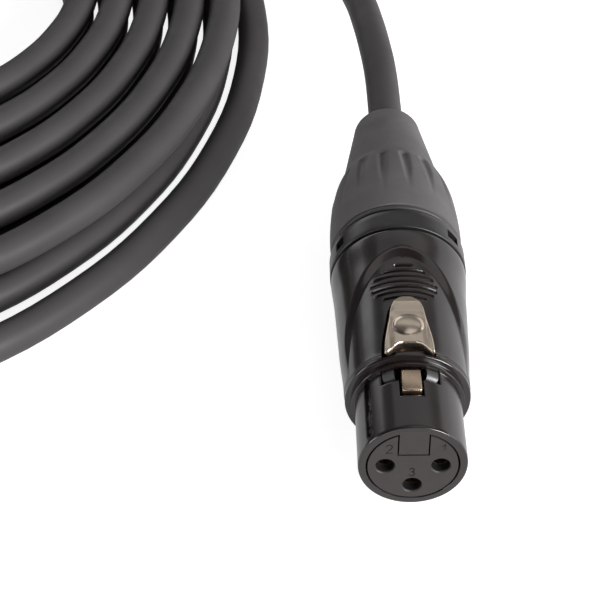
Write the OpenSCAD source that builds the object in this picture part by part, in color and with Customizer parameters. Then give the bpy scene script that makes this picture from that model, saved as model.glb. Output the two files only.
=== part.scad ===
// Microphone cable, coiled for storage: a female and a male three-pole connector on one lead.
// The female connector lies on its side on the table, its face towards -Y. Its own outline sets
// the origin: the middle of its length and width, on the table. The lead leaves its boot towards
// +Y, runs round into a two-layer coil and ends in the male connector, which lies on the coil.

/* [Connector shell] */
// Diameter of the female nose, which enters the male cup
nose_d = 15.8; // [15.6:0.1:15.9]
// Length of the nose, from its face to the collar
nose_l = 13.3; // [13:0.1:14]
// How far the body stands out from the nose
body_step = 1.6; // [1.5:0.05:1.8]
// Length of the body, from the collar to the coding ring
body_l = 27.7; // [27:0.1:29]
// How far the coding ring stands out from the body
ring_step = 1.5; // [1.3:0.05:1.8]
// Length of the coding ring
ring_l = 4.2; // [3.6:0.1:4.6]
// Length of the boot's metal nut that shows
nut_l = 1.7; // [1.4:0.1:2]
// Length of the boot behind the nut
boot_l = 34.1; // [33:0.1:36]
// How far the nut and the boot's front stand back from the coding ring
nut_step = 0.3; // [0.2:0.05:0.6]
// Diameter of the boot where the bell meets the cone
boot_kink_d = 16.4; // [15.6:0.1:17]
// Diameter of the boot's cone at the cable end
boot_tip_d = 11.6; // [11:0.1:12]
// Number of flutes round the bell of the boot
flutes = 16; // [12:1:18]

/* [Arched recess] */
// Distance from the apex of the recess to the coding ring
arch_rear = 4.7; // [4:0.1:6]
// Number of grip grooves in the recess
grip_rows = 7; // [5:1:8]
// Diameter of the patch that the grooves fill
grip_d = 9.6; // [9:0.2:10.2]
// Distance from the patch to the apex of the recess
grip_rear = 1.7; // [1.4:0.1:2.4]

/* [Contacts] */
// Circle that the three contacts stand on
pitch_d = 8.1; // [8:0.05:8.2]
// Diameter of a male pin
pin_d = 2.4; // [2.36:0.01:2.44]
// Clearance on the diameter between a pin and its socket
pin_play = 0.06; // [0.03:0.01:0.09]
// Outer diameter of a socket
socket_d = 3.1; // [3:0.05:3.2]
// Width of the key at twelve o'clock
key_w = 4.5; // [4.4:0.1:4.7]
// Height of the underside of the key above the axis
key_low = 2.4; // [2.3:0.1:2.8]

/* [Latch] */
// Width of the press pad at its front
pad_w = 7.4; // [7:0.1:7.8]
// Length of the press pad
pad_l = 11.7; // [11.2:0.1:12]
// Height of the pad above the body
pad_rise = 0.95; // [0.7:0.05:1.1]
// Width of the hook
hook_w = 2.9; // [2.8:0.1:3.2]
// Height of the hook above the nose
hook_rise = 1; // [0.8:0.05:1.1]
// Diameter of the hinge pin
hinge_d = 1.5; // [1.3:0.1:1.7]

/* [Male shell] */
// Clearance on the diameter between the cup and a nose
cup_play = 0.5; // [0.4:0.05:0.6]
// Depth of the cup
cup_depth = 14.4; // [14.2:0.1:15]
// How far the pin tips stand back from the shell's edge
pin_back = 2; // [1.6:0.1:2.6]

/* [Cable] */
// Outer diameter of the cable
cable_d = 6; // [5.8:0.1:6.2]
// Diameter of an insulated core
core_d = 1.5; // [1.4:0.05:1.6]

/* [Coil] */
// Half the length of the coil's outermost loop
loop_a = 96.4; // [95:0.1:98]
// Half the width of the coil's outermost loop
loop_b = 73.4; // [72:0.1:75]
// Direction of the coil's long axis
loop_dir = 75; // [74:0.5:76]
// How much half the length shrinks in each loop
step_a = 10; // [9.9:0.02:10.1]
// How much half the width shrinks in each loop
step_b = 7.4; // [7.3:0.02:7.5]
// Height of the upper layer above the lower one
layer_h = 6.45; // [6.45:0.05:6.8]
// Loops from the start of the coil to where its spiral turns back
loops_in = 6.125; // [6.1:0.005:6.15]
// Loops to where the tail leaves the coil
loops = 10.84; // [10.84:0.005:10.87]
// How far the coil is drawn in on the side away from the female connector
snug = 9; // [8:0.2:9.6]

/* [Hidden] */
$fn = 64;
over = 0.5;             // how far a cut runs past the face it opens

body_d = nose_d + 2 * body_step;
ring_d = body_d + 2 * ring_step;
nut_d = ring_d - 2 * nut_step;
cup_d = body_d;
cup_bore = nose_d + cup_play;
arch_w = body_d + 0.2;

// Stations along a connector, from its front face
body_end = nose_l + body_l;
ring_gap = 0.2;
ring_at = body_end + ring_gap;
nut_at = ring_at + ring_l + 0.15;
boot_at = nut_at + nut_l + 0.1;
connector_l = boot_at + boot_l;
axis_z = ring_d / 2;
fit_gap = 0.15;         // clearance round a piece that is pushed into another
wall = 1.2;             // wall of the shell behind the collar

// Shell, inside
nose_bore = nose_d - 2 * 1.15;
body_bore = body_d - 2 * wall;
seat_at = nose_l + 3.9; // step that the insert's flange rests against
neck_d = body_d - 1.4;
step_d = nose_d + 1.4;
step_l = 0.9;

// Insert
insert_d = nose_bore - 2 * fit_gap;
flange_d = body_bore - 2 * fit_gap;
flange_l = 3.6;
insert_end = seat_at + fit_gap + flange_l;
mouth_d = 2.8;
mouth_l = 1.5;
key_gap = 0.1;

// Sockets and wires
socket_bore = pin_d + pin_play;
socket_l = 13.5;
cup_l = 6.5;            // solder cup behind a contact
cup_at = seat_at + 2;
cup_od = 2.6;
cup_id = core_d + 0.3;
cup_floor = 1;
wires_from = 30;        // where the cable's jacket is cut back to
wire_r = 1.4;           // distance of the cores from the axis inside the jacket

// Latch
hook_l = 3.9;
hook_at = nose_l - 2 - hook_l;
hook_low = nose_d / 2 - 1.3;
window_at = hook_at - 1.1;
window_gap = 0.35;
pad_at = nose_l + 0.65;
pad_low = body_bore / 2 + 0.05;
pad_top = body_d / 2 + pad_rise;
pad_gap = 0.2;
tip_w = 4.6;
dome_d = 4.3;
dome_rise = 0.45;
hinge_at = pad_at + pad_l + 1.6;
hinge_y = 6.2;
barrel_d = 2.8;
barrel_w = 3.6;
ear_w = 3.2;
ear_gap = 0.15;
arm_w = hook_w - 0.2;
arm_h = 1.3;
spring_at = pad_at + 3.3;
spring_d = 3.2;
spring_wire = 0.45;
spring_curls = 4;
spring_floor = key_low - 0.25;

// Ground spring: a clip round the insert with two tabs in windows beside the hook
clip_d = nose_bore + 0.5;
clip_wall = 0.3;
clip_at = nose_l - 1.4;
clip_l = 1;
tab_x = 3.3;
tab_w = 1.75;
tab_at = clip_at - 1.6;
tab_window = tab_at - 0.7;

// Side groove of the nose and the rib of the male cup that runs in it
groove_turn = 52;
groove_w = 1.2;
groove_depth = 0.55;
groove_from = 1.2;

// Chuck and boot, inside
sleeve_d = body_bore - 2 * fit_gap;
sleeve_wall = 0.7;
sleeve_l = 11;
chuck_d = sleeve_d - 2 * sleeve_wall - 0.2;
chuck_bore = cable_d + 0.2;
chuck_collar = wires_from + 0.6;
chuck_end = boot_at + 4;
chuck_tip_d = 11;
jaw_slot = 1.2;
jaw_l = 12;             // length of the chuck's split jaws
boot_bore = cable_d + 0.3;
bell_end = boot_at + boot_l * 0.536;
tip_round = 2.2;

// Male connector
male_face = cup_depth;
male_seat = male_face + 2;      // where the cup widens for the insert's flange
male_cup_at = insert_end + 0.3;
male_cup_l = 4.2;
male_cup_od = 3;
pin_taper = 0.6;
pin_shoulder = 0.3;     // how far the pin's thicker rear stands out of the insert
notch_at = nose_l - hook_at - hook_l - 0.6;
notch_l = hook_l + 1.2;

// Coil: an oval spiral. Its middle moves by loop_shift in each loop.
coil_mid = [-94, 69.15];
loop_shift = [0.6, 2.85];
start_turn = 100 - loop_dir;
loop_rings = 24;
first_ring = 3;         // ring at which the lead has come down beside the outermost loop
climb = 0.5;            // part of a loop in which the cable climbs a layer and turns back
snug_dir = -38;         // direction in which the coil isn't drawn in, towards the female connector
along = [cos(loop_dir), sin(loop_dir)];
across = [-along[1], along[0]];
cable_r = cable_d / 2;

// Free stretches, by hand: from the boot of the female connector over the outermost loop to the
// start of the coil, and from the coil to the boot of the male connector, which lies on the coil
// along -Y.
lead_points = [
    [-0.3, 59.15, 11], [-0.9, 67.15, 10.8], [-1.8, 76.15, 10.2], [-3.1, 86.15, 9], [-5.6, 97.15, 7.4],
    [-9.6, 108.15, 5.8], [-15.2, 118.55, 4.6], [-22, 128.35, 3.9], [-30, 137.15, 3.7],
    [-39, 144.15, 4.3], [-48.5, 149.15, 5.9], [-57.5, 151.55, 7.7], [-66, 152.35, 9.1],
    [-75, 152.45, 9.7], [-84, 152.25, 9.7], [-95, 151.45, 9.2], [-105.8, 149.15, 8],
    [-115.8, 144.75, 6], [-123.4, 139.65, 4.3], [-130.2, 132.65, 3.2]
];
tail_points = [
    [-54.3, 144.25, 11.9], [-61.4, 147.85, 14.1], [-69.4, 149.15, 15.8], [-77.6, 149.05, 16.8],
    [-85.8, 148.05, 17.4], [-93.9, 146.25, 17.8], [-101.9, 143.85, 18.1], [-109.6, 140.85, 18.5],
    [-117, 137.25, 19.1], [-124, 132.95, 19.9], [-130.3, 127.65, 20.9], [-135.6, 121.35, 22],
    [-139.4, 114.95, 22.9]
];
male_at = [-141, 105.15, 23.1]; // rear end of the male boot, on its axis

// ---- placing -------------------------------------------------------------------------------

// Local frame of a connector: X to the right, Y up, Z from its front face to its cable.
module along_y() {
    rotate([90, 0, 0])
        mirror([0, 0, 1])
            children();
}

module in_female() {
    translate([0, -connector_l / 2, axis_z])
        along_y()
            children();
}

module in_male() {
    translate(male_at - [0, connector_l, 0])
        along_y()
            children();
}

// Places of the three contacts seen from the front: 1 and 2 at the sides, 3 below.
function contact(n, side) = pitch_d / 2 * (n == 1 ? [side, 0] : n == 2 ? [-side, 0] : [0, -1]);

module at_contact(n, side, z) {
    c = contact(n, side);
    translate([c[0], c[1], z])
        children();
}

// ---- swept tubes ---------------------------------------------------------------------------

function unit(v) = v / norm(v);

function heading(p, i) =
    let (
        to = p[min(i + 1, len(p) - 1)] - p[min(i, len(p) - 2)],
        from = p[max(i, 1)] - p[max(i - 1, 0)]
    )
    unit(unit(to) + unit(from));

// One ring of a tube, square to the route, with a corner at the top and the bottom.
function ring_points(p, i, r, n) =
    let (
        ahead = heading(p, i),
        side = unit(cross(ahead, abs(ahead[2]) > 0.9 ? [1, 0, 0] : [0, 0, 1])),
        up = cross(side, ahead)
    )
    [for (k = [0:n - 1]) p[i] + r * (cos(90 + 360 * k / n) * side + sin(90 + 360 * k / n) * up)];

module tube(p, r, n) {
    points = [for (i = [0:len(p) - 1]) each ring_points(p, i, r, n)];
    last = (len(p) - 1) * n;
    skin = [
        for (i = [0:len(p) - 2], k = [0:n - 1])
            let (a = i * n + k, b = i * n + (k + 1) % n)
            each [[a, b, a + n], [b, b + n, a + n]]
    ];
    caps = [for (k = [1:n - 2]) each [[0, k + 1, k], [last, last + k, last + k + 1]]];
    polyhedron(points, concat(skin, caps), convexity = 10);
}

// ---- shell pieces --------------------------------------------------------------------------

// Half an oval, seen from above: the outline of the arched recess.
function arch_outline(w, from, apex) = [
    for (a = [0:6:180]) [w / 2 * cos(a), from + (apex - from) * sin(a)]
];

// A prism along Y, up from height y, over an outline given in X and Z.
module upward(y, h) {
    translate([0, y, 0])
        rotate([-90, 0, 0])
            mirror([0, 1, 0])
                linear_extrude(h)
                    children();
}

// The raised rear half of the body, which leaves the arched recess open on top.
module saddle(front) {
    difference() {
        rotate_extrude()
            polygon([
                [body_d / 2 - 0.3, front], [body_d / 2 + 0.15, front], [body_d / 2 + 0.5, front + 4.2],
                [ring_d / 2 - 0.5, body_end - 5], [ring_d / 2 - 0.1, body_end - 1],
                [ring_d / 2 - 0.1, body_end - 0.4], [ring_d / 2 - 0.4, body_end], [body_d / 2 - 0.3, body_end]
            ]);
        upward(0, ring_d)
            polygon(concat(
                [[-arch_w / 2, nose_l - over], [arch_w / 2, nose_l - over]],
                arch_outline(arch_w, nose_l + 2.9, body_end - arch_rear)
            ));
    }
}

// Transverse grooves that fill a round patch in the recess.
module grip_grooves() {
    row = (grip_d - 1.8) / (grip_rows - 1);
    middle = body_end - arch_rear - grip_rear - grip_d / 2;
    for (i = [0:grip_rows - 1]) {
        z = (i - (grip_rows - 1) / 2) * row;
        half = sqrt(pow(grip_d / 2, 2) - z * z);
        intersection() {
            rotate_extrude()
                polygon([
                    [body_d / 2 - 0.45, middle + z - 0.25], [body_d / 2 + over, middle + z - 0.5],
                    [body_d / 2 + over, middle + z + 0.5], [body_d / 2 - 0.45, middle + z + 0.25]
                ]);
            translate([-half, 0, middle + z - 1])
                cube([2 * half, body_d, 2]);
        }
    }
}

// Outline of the press pad from above: rounded tip, straight sides, a notch at the front.
module pad_outline(gap) {
    w = pad_w / 2 + gap;
    t = tip_w / 2 + gap;
    end = pad_at + pad_l + gap;
    difference() {
        polygon(concat(
            [[-w, pad_at - gap], [w, pad_at - gap], [w, pad_at + 2]],
            [for (a = [0:15:180]) [t * cos(a), end - t + t * sin(a)]],
            [[-w, pad_at + 2]]
        ));
        if (gap == 0)
            polygon([
                [-pad_w / 2 + 0.15, pad_at - over], [-pad_w / 2 + 0.15, pad_at], [-pad_w / 4, pad_at + 1.6],
                [pad_w / 4, pad_at + 1.6], [pad_w / 2 - 0.15, pad_at], [pad_w / 2 - 0.15, pad_at - over]
            ]);
    }
}

// The body common to both connectors: arch, grip, rear bore and the neck for the coding ring.
module body_profile(front) {
    rotate_extrude()
        polygon([
            [body_bore / 2, front], [body_d / 2, front], [body_d / 2, body_end],
            [neck_d / 2, body_end], [neck_d / 2, ring_at + ring_l], [body_bore / 2, ring_at + ring_l]
        ]);
}

module female_housing() {
    in_female()
        color([0.06, 0.06, 0.065])
            difference() {
                union() {
                    nose_profile();
                    body_profile(seat_at - over);
                    saddle(seat_at + 0.8);
                    key_block();
                    hinge_ears();
                }
                nose_openings();
                grip_grooves();
                upward(0, ring_d)
                    pad_outline(pad_gap);
                translate([-hinge_d * 4, hinge_y, hinge_at])
                    rotate([0, 90, 0])
                        cylinder(h = hinge_d * 8, d = hinge_d);
            }
}

module nose_profile() {
    collar = body_d / 2;
    rotate_extrude()
        polygon([
            [nose_bore / 2, 0], [nose_d / 2 - 0.3, 0], [nose_d / 2, 0.3], [nose_d / 2, nose_l - step_l],
            [step_d / 2, nose_l - step_l], [step_d / 2, nose_l], [collar - 0.2, nose_l],
            [collar, nose_l + 0.2], [collar, nose_l + 0.7], [collar - 0.2, nose_l + 0.8],
            [collar, nose_l + 0.9], [collar, seat_at], [nose_bore / 2, seat_at]
        ]);
}

// The key stands in from the shell at twelve o'clock, ahead of the hook.
module key_block() {
    translate([-key_w / 2, key_low, 0])
        cube([key_w, nose_bore / 2 - key_low + 0.1, window_at - 0.8]);
}

// Two ears inside the shell hold the hinge pin of the latch.
module hinge_ears() {
    inner = barrel_w / 2 + ear_gap;
    for (side = [-1, 1])
        intersection() {
            translate([side > 0 ? inner : -inner - ear_w, hinge_y - 1.5, hinge_at - 1.7])
                cube([ear_w, 4, 3.4]);
            cylinder(h = connector_l, d = body_bore + 0.4);
        }
}

module nose_openings() {
    window_w = hook_w + 2 * window_gap;
    open_l = nose_l - step_l;
    // hook window, and the way for the arm under the collar
    translate([-window_w / 2, key_low, window_at])
        cube([window_w, nose_d, open_l - window_at]);
    translate([-window_w / 2, key_low, open_l - over])
        cube([window_w, hook_low + arm_h + 0.3 - key_low, nose_l + 1 + over - open_l]);
    // tab windows beside it, which run on inside the collar
    intersection() {
        for (side = [-1, 1])
            translate([side * tab_x - tab_w / 2 - 0.15, 4, tab_window])
                cube([tab_w + 0.3, nose_d, clip_at + clip_l + 0.2 - tab_window]);
        union() {
            cylinder(h = open_l, d = 2 * nose_d);
            cylinder(h = seat_at, d = nose_d + 0.1);
        }
    }
    // recess for the ground clip
    translate([0, 0, clip_at - 0.15])
        cylinder(h = clip_l + 0.3, d = clip_d + 0.2);
    // side groove, round-ended near the face
    rotate([0, 0, groove_turn])
        translate([0, nose_d / 2 - groove_depth, groove_from + groove_w / 2]) {
            translate([-groove_w / 2, 0, 0])
                cube([groove_w, nose_d, nose_l - step_l - groove_from - groove_w / 2]);
            rotate([-90, 0, 0])
                cylinder(h = nose_d, d = groove_w);
        }
}

module female_insert() {
    slot_w = key_w + 2 * key_gap;
    in_female()
        color([0.16, 0.155, 0.155])
            difference() {
                union() {
                    cylinder(h = insert_end, d = insert_d);
                    translate([0, 0, seat_at + fit_gap])
                        cylinder(h = flange_l, d = flange_d);
                }
                // way for the key and the latch
                translate([-slot_w / 2, spring_floor, -over])
                    cube([slot_w, nose_d, insert_end + 2 * over]);
                translate([-pad_w / 2 - 0.5, insert_d / 2, seat_at])
                    cube([pad_w + 1, nose_d, flange_l + 1]);
                for (n = [1:3])
                    at_contact(n, 1, 0) {
                        translate([0, 0, -0.01])
                            cylinder(h = 0.31, d1 = mouth_d + 0.3, d2 = mouth_d - 0.3);
                        translate([0, 0, -over])
                            cylinder(h = mouth_l + 1, d = mouth_d);
                        translate([0, 0, mouth_l])
                            cylinder(h = insert_end, d = socket_d + 0.1);
                    }
            }
}

module female_socket(n) {
    in_female()
        color([0.72, 0.72, 0.7])
            at_contact(n, 1, mouth_l + 0.1)
                difference() {
                    union() {
                        cylinder(h = cup_at - mouth_l, d = socket_d);
                        cylinder(h = cup_at + cup_l - mouth_l, d = cup_od);
                    }
                    translate([0, 0, -over])
                        cylinder(h = socket_l + over, d = socket_bore);
                    solder_cup(cup_at - mouth_l - 0.1, cup_l);
                }
}

// The rear of a contact is bored to take the core.
module solder_cup(at, long) {
    translate([0, 0, at + cup_floor])
        cylinder(h = long + over, d = cup_id);
}

module ground_spring() {
    r = clip_d / 2;
    in_female()
        color([0.6, 0.6, 0.6]) {
            difference() {
                translate([0, 0, clip_at])
                    cylinder(h = clip_l, r = r);
                translate([0, 0, clip_at - over])
                    cylinder(h = clip_l + 2 * over, r = r - clip_wall);
                translate([-tab_x + tab_w / 2, 0, clip_at - over])
                    cube([2 * tab_x - tab_w, r + over, clip_l + 2 * over]);
            }
            for (side = [-1, 1])
                intersection() {
                    translate([side * tab_x - tab_w / 2, 4, tab_at])
                        cube([tab_w, 6, clip_at + clip_l - tab_at]);
                    rotate_extrude()
                        polygon([
                            [r - clip_wall, clip_at + clip_l], [r, clip_at + clip_l],
                            [nose_d / 2 + 0.1, clip_at + 0.2], [nose_d / 2 + 0.1, tab_at + 0.4],
                            [nose_d / 2 - 0.2, tab_at], [r - clip_wall, tab_at]
                        ]);
                }
        }
}

// ---- latch ---------------------------------------------------------------------------------

module latch_lever() {
    in_female()
        color([0.62, 0.58, 0.52])
            difference() {
                union() {
                    press_pad();
                    hook();
                    lever_arm();
                }
                translate([-barrel_w, hinge_y, hinge_at])
                    rotate([0, 90, 0])
                        cylinder(h = 2 * barrel_w, d = hinge_d + 0.1);
            }
}

// The pad is a slice of a tube, so that it follows the body, with a flat and a dome to press.
module press_pad() {
    intersection() {
        upward(0, ring_d)
            pad_outline(0);
        rotate_extrude()
            polygon([
                [pad_low, pad_at], [pad_top - 0.8, pad_at], [pad_top, pad_at + 1.6],
                [pad_top, pad_at + pad_l - 4], [pad_top - 0.7, pad_at + pad_l], [pad_low, pad_at + pad_l]
            ]);
    }
    translate([0, 0, pad_at + 5])
        rotate([-90, 0, 0]) {
            translate([0, 0, pad_low])
                cylinder(h = pad_top - pad_low, d = dome_d);
            translate([0, 0, pad_top])
                cylinder(h = dome_rise, d1 = dome_d, d2 = dome_d - 1);
        }
}

module hook() {
    top = nose_d / 2 + hook_rise;
    translate([hook_w / 2, 0, 0])
        rotate([0, -90, 0])
            linear_extrude(hook_w)
                polygon([
                    [hook_at, hook_low], [hook_at, top - 0.9], [hook_at + 0.3, top - 0.2], [hook_at + 0.7, top],
                    [hook_at + hook_l - 0.2, top], [hook_at + hook_l, top - 0.2],
                    [hook_at + hook_l, hook_low]
                ]);
}

// The arm joins the hook to the pad and runs back under it to the hinge barrel.
module lever_arm() {
    back = pad_at + pad_l - 3;
    translate([-arm_w / 2, hook_low, hook_at + 1])
        cube([arm_w, arm_h, pad_at + 1 - hook_at]);
    translate([-arm_w / 2, hook_low, pad_at])
        cube([arm_w, pad_low - hook_low + 0.3, 3]);
    translate([-arm_w / 2, hook_low, pad_at + 1])
        cube([arm_w, arm_h, hinge_at - pad_at - 1]);
    translate([-arm_w / 2, hook_low, back - 1])
        cube([arm_w, pad_low - hook_low + 0.3, 2]);
    translate([-barrel_w / 2, hinge_y, hinge_at])
        rotate([0, 90, 0])
            cylinder(h = barrel_w, d = barrel_d);
}

module latch_pin() {
    half = barrel_w / 2 + ear_gap + ear_w - 0.6;
    in_female()
        color([0.75, 0.75, 0.76])
            translate([-half, hinge_y, hinge_at])
                rotate([0, 90, 0])
                    cylinder(h = 2 * half, d = hinge_d - 0.04);
}

module latch_spring() {
    low = spring_floor + spring_wire / 2 + 0.05;
    high = hook_low - spring_wire / 2 - 0.05;
    steps = 10 * spring_curls;
    r = (spring_d - spring_wire) / 2;
    route = [
        for (i = [0:steps])
            [r * cos(36 * i), spring_at + r * sin(36 * i), low + (high - low) * i / steps]
    ];
    translate([0, -connector_l / 2, axis_z])
        color([0.7, 0.7, 0.72])
            tube(route, spring_wire / 2, 6);
}

// ---- pieces that both connectors have ------------------------------------------------------

module coding_ring() {
    slot_w = 2.6;
    slot_l = 1.7;
    color([0.05, 0.05, 0.055])
        difference() {
            rotate_extrude()
                polygon([
                    [neck_d / 2 + 0.1, ring_at], [ring_d / 2 - 0.15, ring_at], [ring_d / 2, ring_at + 0.15],
                    [ring_d / 2, ring_at + ring_l - 0.15], [ring_d / 2 - 0.15, ring_at + ring_l],
                    [neck_d / 2 + 0.1, ring_at + ring_l]
                ]);
            for (turn = [-52, 52])
                rotate([0, 0, turn])
                    translate([-slot_w / 2, ring_d / 2 - 0.8, ring_at + 1.3])
                        cube([slot_w, 2, slot_l]);
        }
}

// The nut closes the shell: a thin threaded sleeve inside it and the ring that shows.
module nut() {
    color([0.07, 0.07, 0.075])
        rotate_extrude()
            polygon([
                [sleeve_d / 2 - sleeve_wall, nut_at - sleeve_l], [sleeve_d / 2, nut_at - sleeve_l],
                [sleeve_d / 2, nut_at], [nut_d / 2 - 0.15, nut_at], [nut_d / 2, nut_at + 0.2],
                [nut_d / 2, nut_at + nut_l], [sleeve_d / 2 - sleeve_wall, nut_at + nut_l]
            ]);
}

function bell_r(z) =
    let (t = (z - boot_at) / (bell_end - boot_at))
    nut_d / 2 - (nut_d - boot_kink_d) / 2 * pow(t, 3.2);

// Soft boot: a fluted bell, a smooth cone and a round shoulder down to the cable.
module boot() {
    tip_r = boot_tip_d / 2;
    shoulder = connector_l - tip_round;
    inner = chuck_d / 2 + 0.3;
    color([0.24, 0.235, 0.23])
        difference() {
            rotate_extrude()
                polygon(concat(
                    [[inner, boot_at]],
                    [for (i = [0:8]) let (z = boot_at + (bell_end - boot_at) * i / 8) [bell_r(z), z]],
                    [for (a = [0:15:90]) [tip_r - tip_round * (1 - cos(a)), shoulder + tip_round * sin(a)]],
                    [
                        [boot_bore / 2, connector_l], [boot_bore / 2, chuck_end + 3],
                        [chuck_tip_d / 2 + 0.3, chuck_end + 0.3]
                    ]
                ));
            for (i = [0:flutes - 1])
                rotate([0, 0, (i + 0.5) * 360 / flutes])
                    flute();
        }
}

// A flute starts with a round head near the cone and runs out on the bell towards the nut.
module flute() {
    r = 1.4;
    depth = 0.5;
    back = bell_end - 1.5;
    front = boot_at + 6;
    long = back - front;
    lean = atan((bell_r(front) - bell_r(back) + depth + 0.1) / long);
    translate([0, bell_r(back) + r - depth, back])
        rotate([180 + lean, 0, 0])
            rotate_extrude($fn = 24)
                polygon([[0, -r], [0.6 * r, -0.8 * r], [r, 0], [r, long], [0, long]]);
}

// Collet that grips the jacket: legs that reach the insert, a collar and split jaws.
module chuck() {
    collar_d = sleeve_d;
    color([0.85, 0.84, 0.8])
        difference() {
            rotate_extrude()
                polygon([
                    [chuck_bore / 2, chuck_collar], [collar_d / 2, chuck_collar],
                    [collar_d / 2, nut_at - sleeve_l - 0.2], [chuck_d / 2, nut_at - sleeve_l - 0.2],
                    [chuck_d / 2, boot_at - 1], [chuck_tip_d / 2, chuck_end], [chuck_bore / 2, chuck_end]
                ]);
            for (i = [0:2])
                rotate([0, 0, 120 * i])
                    translate([0, -jaw_slot / 2, chuck_end - jaw_l])
                        cube([chuck_d, jaw_slot, jaw_l + over]);
        }
    legs(collar_d / 2);
}

module legs(r) {
    color([0.85, 0.84, 0.8])
        for (side = [0, 180])
            rotate([0, 0, side])
                intersection() {
                    difference() {
                        translate([0, 0, insert_end + 0.2])
                            cylinder(h = chuck_collar - insert_end, r = r);
                        cylinder(h = chuck_collar + 1, r = r - 1.2);
                    }
                    translate([0, -3.4, 0])
                        cube([r + 1, 6.8, chuck_collar + 1]);
                }
}

module cable_end() {
    color([0.09, 0.09, 0.092])
        translate([0, 0, wires_from])
            cylinder(h = connector_l - wires_from, d = cable_d);
}

// A core runs straight out of the jacket, spreads, and runs straight into its solder cup.
module wire(n, side, cup, cup_long) {
    c = contact(n, side);
    a = unit(c) * wire_r;
    deep = cup + cup_floor + 0.1;
    steps = 6;
    out = wires_from - 1.5;
    in = cup + cup_long + 0.6;
    route = concat(
        [[a[0], wires_from, a[1]]],
        [
            for (i = [0:steps])
                let (t = i / steps, m = t * t * (3 - 2 * t), q = a + (c - a) * m)
                [q[0], out + (in - out) * t, q[1]]
        ],
        [[c[0], deep, c[1]]]
    );
    color(core_colours[n - 1])
        tube(route, core_d / 2, 8);
}

core_colours = [[0.55, 0.35, 0.2], [0.9, 0.9, 0.88], [0.75, 0.1, 0.08]];

module female_wire(n) {
    translate([0, -connector_l / 2, axis_z])
        wire(n, 1, cup_at, cup_l);
}

module male_wire(n) {
    translate(male_at - [0, connector_l, 0])
        wire(n, -1, male_cup_at, male_cup_l);
}

module female_ring() {
    in_female() coding_ring();
}

module female_nut() {
    in_female() nut();
}

module female_boot() {
    in_female() boot();
}

module female_chuck() {
    in_female() chuck();
}

module female_cable_end() {
    in_female() cable_end();
}

module male_ring() {
    in_male() coding_ring();
}

module male_nut() {
    in_male() nut();
}

module male_boot() {
    in_male() boot();
}

module male_chuck() {
    in_male() chuck();
}

module male_cable_end() {
    in_male() cable_end();
}

// ---- male connector ------------------------------------------------------------------------

module male_housing() {
    in_male()
        color([0.06, 0.06, 0.065])
            difference() {
                union() {
                    rotate_extrude()
                        polygon([
                            [cup_bore / 2, 0], [cup_d / 2 - 0.3, 0], [cup_d / 2, 0.3], [cup_d / 2, male_seat],
                            [cup_bore / 2, male_seat]
                        ]);
                    body_profile(male_seat - over);
                    saddle(seat_at + 0.8);
                    rotate([0, 0, groove_turn])
                        translate([-groove_w / 2 + 0.1, cup_bore / 2 - groove_depth + 0.1, 1.5])
                            cube([groove_w - 0.2, groove_depth + 0.2, cup_depth - 2]);
                }
                grip_grooves();
                translate([-hook_w / 2 - window_gap, 0, notch_at])
                    cube([hook_w + 2 * window_gap, cup_d, notch_l]);
            }
}

module male_insert() {
    in_male()
        color([0.08, 0.08, 0.085])
            difference() {
                union() {
                    translate([0, 0, male_face])
                        cylinder(h = insert_end - male_face, d = cup_bore - 2 * fit_gap);
                    translate([0, 0, male_seat + fit_gap])
                        cylinder(h = insert_end - male_seat - fit_gap, d = flange_d);
                }
                for (n = [1:3])
                    at_contact(n, -1, male_face - over)
                        cylinder(h = insert_end, d = male_cup_od + 0.1);
            }
}

// A pin has a tapered tip, a shoulder at the insert's face and a solder cup at its rear.
module male_pin(n) {
    shoulder = male_face - pin_shoulder;
    in_male()
        color([0.78, 0.78, 0.77])
            at_contact(n, -1, 0) {
                translate([0, 0, pin_back])
                    cylinder(h = pin_taper, d1 = pin_d - 1, d2 = pin_d);
                translate([0, 0, pin_back + pin_taper])
                    cylinder(h = shoulder - pin_back - pin_taper, d = pin_d);
                difference() {
                    translate([0, 0, shoulder])
                        cylinder(h = male_cup_at + male_cup_l - shoulder, d = male_cup_od);
                    solder_cup(male_cup_at, male_cup_l);
                }
            }
}

// A flat tab from the shell's wall to the insert bonds the shell to contact 1.
module male_ground_tab() {
    in_male()
        color([0.7, 0.7, 0.68])
            translate([-1.4, flange_d / 2 - 1.3, insert_end + 0.1])
                cube([2.8, 1, 5]);
}

// ---- cable ---------------------------------------------------------------------------------

// How many loops in from the outermost one the cable is after t loops. The spiral runs in at a
// steady rate, turns back over half a loop and runs out at the same rate.
function inward(t) =
    let (h = climb / 2, x = t - loops_in)
    abs(x) < h ? loops_in - h / 2 * (1 + pow(x / h, 2)) : loops_in - abs(x);

function eased(x) = let (u = min(1, max(0, x))) u * u * (3 - 2 * u);

// How far a point of an oval moves in, from the oval's outward normal there. The curve stays
// smooth, and loops inside each other keep their distance.
function drawn_in(n) =
    let (open = [cos(snug_dir), sin(snug_dir)], u = (1 - n * open) / 2)
    snug * (u * u * n + u * cross(open, n) * [-n[1], n[0]]);

function coil_point(t) =
    let (
        k = inward(t),
        a = loop_a - step_a * k,
        b = loop_b - step_b * k,
        turn = start_turn + 360 * t,
        normal = unit(cos(turn) / a * along + sin(turn) / b * across),
        xy = coil_mid + loop_shift * k + a * cos(turn) * along + b * sin(turn) * across - drawn_in(normal)
    )
    [xy[0], xy[1], cable_r + layer_h * eased((t - loops_in) / climb + 0.5)];

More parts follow.
